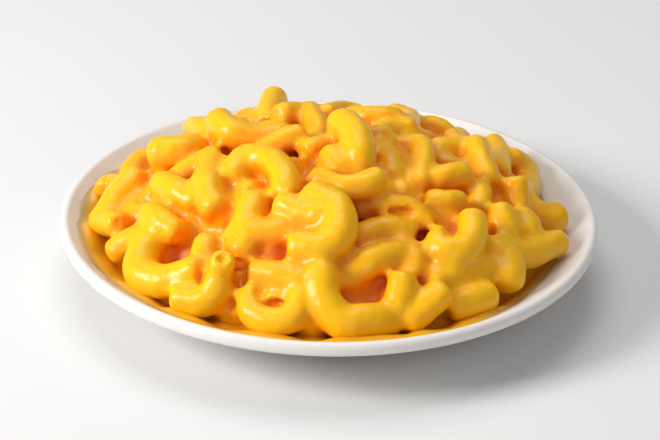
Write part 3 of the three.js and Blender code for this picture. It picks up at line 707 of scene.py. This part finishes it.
def makeMacaroni(elbows, material):
    piece = joinedPiece("macaroni_heap", [makeCore()] + [makeTube(elbow) for elbow in elbows], material)
    cleanSkin(piece)
    raiseSkin(piece, fillet)
    cleanSkin(piece)
    raiseSkin(piece, lambda place: -fillet(place))
    tree = BVHTree.FromObject(piece, bpy.context.evaluated_depsgraph_get())
    cutters = [makeBore(elbow) for elbow in elbows if elbow["bore"]] + [makeDimples(tree)]
    bores = joinedPiece("bores", cutters, material)
    hollow = piece.modifiers.new("hollow", "BOOLEAN")
    hollow.object, hollow.operation, hollow.solver = bores, "DIFFERENCE", "MANIFOLD"
    applyModifiers(piece)
    bpy.data.objects.remove(bores)
    relax = piece.modifiers.new("relax", "SMOOTH")
    relax.iterations = coat["smoothing"]
    cleanSkin(piece)
    raiseSkin(piece, lumps)
    bm = bmesh.new()
    bm.from_mesh(piece.data)
    bmesh.ops.bisect_plane(bm, geom=bm.verts[:] + bm.edges[:] + bm.faces[:], dist=1e-6,
                           plane_co=(0, 0, coat["flatFoot"] * mm), plane_no=upright, clear_inner=True)
    bmesh.ops.holes_fill(bm, edges=[edge for edge in bm.edges if edge.is_boundary])
    bmesh.ops.recalc_face_normals(bm, faces=bm.faces)
    bm.to_mesh(piece.data)
    bm.free()
    piece.data.shade_smooth()
    return piece


# the two darker colours are painted shade for the gaps between the elbows
macaroniLook = dict(
    tone={"Light": (0.94, 0.51, 0.004, 1), "Painted Deep Shade": (0.88, 0.24, 0.005, 1),
          "Painted Crevice Shade": (0.6, 0.12, 0.014, 1), "Mottle Scale": 90, "Mottle": 0.6, "Ripple Scale": 420},
    attributes={"Painted Shade": "gap", "Tone": "tone"}, bump=0.3,
    shader={"Subsurface Weight": 0.6, "Subsurface Radius": (1.0, 0.4, 0.08),
            "Subsurface Scale": 2 * mm, "Specular IOR Level": 0.32, "Coat Weight": 0.04,
            "Coat Roughness": 0.2})

elbows = withFillers(placedElbows())
macaroni = makeMacaroni(elbows, cheeseMaterial("sauced_macaroni", macaroniLook))
print("macaroni:", len(elbows), "elbows,", len(macaroni.data.polygons), "faces")


occlusion = dict(rays=14, reach=16 * mm, lift=0.2 * mm, fade=0.5)


def paintedGapShade(piece):
    # share of short rays off each vertex that meet the heap again: painted shade for the gaps
    mesh = piece.data
    tree = BVHTree.FromPolygons([v.co for v in mesh.vertices], [p.vertices for p in mesh.polygons])
    ways = []
    for i in range(occlusion["rays"]):  # even spiral over a half sphere
        height = (i + 0.5) / occlusion["rays"]
        wide, turn = math.sqrt(1 - height * height), i * goldenAngle
        ways.append(Vector((wide * math.cos(turn), wide * math.sin(turn), height)))
    values = []
    for vertex in mesh.vertices:
        turn = upright.rotation_difference(vertex.normal)
        start = vertex.co + vertex.normal * occlusion["lift"]
        met = 0
        for way in ways:
            distance = tree.ray_cast(start, turn @ way, occlusion["reach"])[3]
            if distance is not None:
                met += 1 - occlusion["fade"] * distance / occlusion["reach"]
        values.append(met / len(ways))
    # stored as painted shade for the gaps between the elbows
    addAttribute(piece, "gap", values)
    return tree


tones = dict(seed=99, every=3, nearest=4, blur=1e-4, power=4)


def elbowTone(piece, elbows):
    # each elbow takes a slightly different tone, read from the nearest centreline
    spots = [(spot, i) for i, elbow in enumerate(elbows)
             for spot in curveThrough(elbow["centreline"])[::tones["every"]]]
    tree = KDTree(len(spots))
    for k, (spot, _) in enumerate(spots):
        tree.insert(spot * mm, k)
    tree.balance()
    numbers = randomRun(tones["seed"])
    drawn = [next(numbers) for _ in elbows]
    values = []
    for vertex in piece.data.vertices:
        near = tree.find_n(vertex.co, tones["nearest"])
        weights = [1 / (distance + tones["blur"]) ** tones["power"] for _, _, distance in near]
        values.append(sum(w * drawn[spots[k][1]] for w, (_, k, _) in zip(weights, near)) / sum(weights))
    addAttribute(piece, "tone", values)


heapTree = paintedGapShade(macaroni)
elbowTone(macaroni, elbows)
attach(macaroni, "root")
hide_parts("macaroni")
print("macaroni shaded")


pool = dict(
    level=12.5, sides=200, rings=60, inner=50, stretchFrom=0.65, clearance=0.1, sideTop=12, flatTop=15,
    reach=79, frontReach=85.4, filmSide=math.radians(130), filmSpread=(-0.35, 0.6), wave=0.3,
    waves=((5, 1, 0.5), (11, 0, 0.3), (17, 2, 0.2)), film=0.4, filmRise=7, sink=0.05,
    edge=1, dive=0.4, ripple=0.25, rippleScale=0.12, meniscus=3.5, meniscusWidth=2.5,
    # gap and its width: painted shade in the sauce next to the elbows
    meniscusEnd=(6, 1.5), gap=0.25, paintedShadeWidth=2.5, cling=1.5, filmWidth=5, frontFilmWidth=1.5,
    front=(0.7, 0.9))


def filmReach(angle):
    # the film climbs high on the front left of the plate and stays low on the right and behind
    frontLeft = smoothStep(*pool["filmSpread"], math.cos(angle + pool["filmSide"]))
    wave = sum(high * math.sin(count * angle + turn) for count, turn, high in pool["waves"])
    return mixed(pool["reach"], pool["frontReach"], frontLeft) + pool["wave"] * wave


def filmHeight(radius, edge):
    # level sauce, then a film on the wall that thins out and dips into it at its edge
    thin = pool["film"] * (1 - smoothStep(edge - pool["filmRise"], edge - pool["edge"], radius))
    level = max(pool["level"], wallHeight(radius) + thin - pool["sink"])
    return level - pool["dive"] * smoothStep(edge - pool["edge"], edge, radius)


def makeSauce(material):
    outline = [(0, plate["wellHeight"] + pool["clearance"])]
    outline += [(spot.x, spot.y + pool["clearance"]) for spot in wallPoints[::3] if spot.y < pool["sideTop"]]
    steps = [i / pool["rings"] for i in range(pool["rings"] + 1)]
    outline += [(mixed(pool["reach"], pool["inner"], share), pool["flatTop"]) for share in steps]
    outline += [(0, pool["flatTop"])]
    bm = bmesh.new()
    turnOutline(bm, outline, pool["sides"])
    climbFrom, climbTo = pool["meniscusEnd"]
    for vert in bm.verts:
        if vert.co.z < pool["flatTop"] - weld:  # the underside keeps to the plate
            continue
        radius, angle = math.hypot(vert.co.x, vert.co.y), math.atan2(vert.co.y, vert.co.x)
        edge = filmReach(angle)
        radius += (edge - pool["reach"]) * smoothStep(pool["stretchFrom"], 1, radius / pool["reach"])
        x, y = radius * math.cos(angle), radius * math.sin(angle)
        level = filmHeight(radius, edge)
        if radius < edge - pool["edge"]:
            level += pool["ripple"] * noise.noise(Vector((x, y, 0)) * pool["rippleScale"])
        vert.co = Vector((x, y, level))
        distance = heapTree.find_nearest(vert.co * mm)[3] / mm
        climb = pool["meniscus"] * (1 - smoothStep(edge - climbFrom, edge - climbTo, radius))
        vert.co.z += climb * math.exp(-distance / pool["meniscusWidth"])
    return newPiece("cheese_sauce_pool", bm, material)


# the two darker colours are painted shade for the sauce by the elbows
sauceLook = dict(
    tone={"Light": (0.84, 0.42, 0.012, 1), "Painted Deep Shade": (0.8, 0.24, 0.008, 1), "Painted Crevice Shade": (0.6, 0.12, 0.01, 1),
          "Film": (0.55, 0.37, 0.12, 1), "Bare": porcelain["glaze"], "Mottle Scale": 70, "Mottle": 0.7,
          "Ripple Scale": 260},
    attributes={"Painted Shade": "gap", "Thin": "thin"}, bump=0.2,
    shader={"Subsurface Weight": 0.3, "Subsurface Radius": (1.0, 0.42, 0.08),
            "Subsurface Scale": 2.5 * mm, "Specular IOR Level": 0.4, "Coat Weight": 0.2,
            "Coat Roughness": 0.15})

sauce = makeSauce(cheeseMaterial("cheese_sauce", sauceLook))


def poolShade(piece, tree):
    # painted shade by the elbows, and how thin the film lies, both kept for the material
    paintedShades, thins = [], []
    for vertex in piece.data.vertices:
        place = vertex.co / mm
        angle = math.atan2(place.y, place.x)
        edge = filmReach(angle)
        width = mixed(pool["filmWidth"], pool["frontFilmWidth"],
                      smoothStep(*pool["front"], -math.sin(angle)))
        distance = tree.find_nearest(vertex.co)[3] / mm
        # painted shade: the sauce darker the nearer it lies to the heap
        paintedShades.append(pool["gap"] * math.exp(-distance / pool["paintedShadeWidth"]))
        thin = 1 - (edge - pool["edge"] - math.hypot(place.x, place.y)) / width
        thins.append(min(1, max(0, thin)) * (1 - math.exp(-distance / pool["cling"])))
    addAttribute(piece, "gap", paintedShades)
    addAttribute(piece, "thin", thins)


poolShade(sauce, heapTree)
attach(sauce, "root")
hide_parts("cheese_sauce")
print("sauce poured:", len(sauce.data.vertices), "vertices")


stage = dict(size=6, tint=(0.76, 0.78), grainScale=30, shader={"Roughness": 0.9, "Specular IOR Level": 0.1})


def makeStage():
    bm = bmesh.new()
    bmesh.ops.create_grid(bm, x_segments=1, y_segments=1, size=stage["size"] / 2 / mm)
    material, tree, shader = newMaterial("floor_card")
    grain = addNode(tree, "ShaderNodeTexNoise", (-400, 0), {"Scale": stage["grainScale"]})
    tint = addNode(tree, "ShaderNodeMapRange", (-200, 0),
                   {"To Min": stage["tint"][0], "To Max": stage["tint"][1]})
    tree.links.new(grain.outputs["Fac"], tint.inputs["Value"])
    tree.links.new(tint.outputs["Result"], shader.inputs["Base Color"])
    for socket, value in stage["shader"].items():
        shader.inputs[socket].default_value = value
    floor = newPiece("floor", bm, material)


def addLight(name, place, target, size, power, colour=(1, 1, 1)):
    lamp = bpy.data.lights.new(name, "AREA")
    lamp.shape, lamp.size, lamp.size_y = "RECTANGLE", size[0], size[1]
    lamp.energy, lamp.color = power, colour
    holder = bpy.data.objects.new(name, lamp)
    holder.location = place
    holder.rotation_euler = (Vector(target) - Vector(place)).to_track_quat("-Z", "Y").to_euler()
    bpy.context.collection.objects.link(holder)


lights = dict(
    key=dict(place=(-0.94, -0.34, 0.6), target=(0, 0, 0.02), size=(0.4, 0.4), power=12.5,
             colour=(1, 0.985, 0.96)),
    fill=dict(place=(0.2, -1.15, 0.6), target=(0, 0, 0.02), size=(1.0, 0.8), power=1.8),
    top=dict(place=(-0.1, 0.35, 1.1), target=(0, 0, 0), size=(0.8, 0.8), power=5.4))


worldLight = dict(colour=(1, 1, 1, 1), strength=0.28)


def makeWorld():
    world = bpy.data.worlds.new("studio")
    world.use_nodes = True
    back = world.node_tree.nodes["Background"]
    back.inputs["Color"].default_value = worldLight["colour"]
    back.inputs["Strength"].default_value = worldLight["strength"]
    bpy.context.scene.world = world


def makeCamera():
    lens = bpy.data.cameras.new("camera")
    lens.sensor_width = eyeView["sensor"]
    widthThere = eyeView["imageWidth"] / eyeView["pointsPerMillimetre"]  # of the view at the target
    lens.lens = eyeView["sensor"] * eyeView["distance"] / widthThere
    lens.clip_start, lens.clip_end = 0.01, 20  # metres
    camera = bpy.data.objects.new("camera", lens)
    camera.matrix_world = Matrix.Translation(eye * mm) @ facingEye
    bpy.context.collection.objects.link(camera)
    bpy.context.scene.camera = camera


makeStage()
for name, light in lights.items():
    addLight(name, **light)
makeWorld()
makeCamera()
bpy.context.scene.view_settings.view_transform = "Standard"
print("stage, light and camera placed")
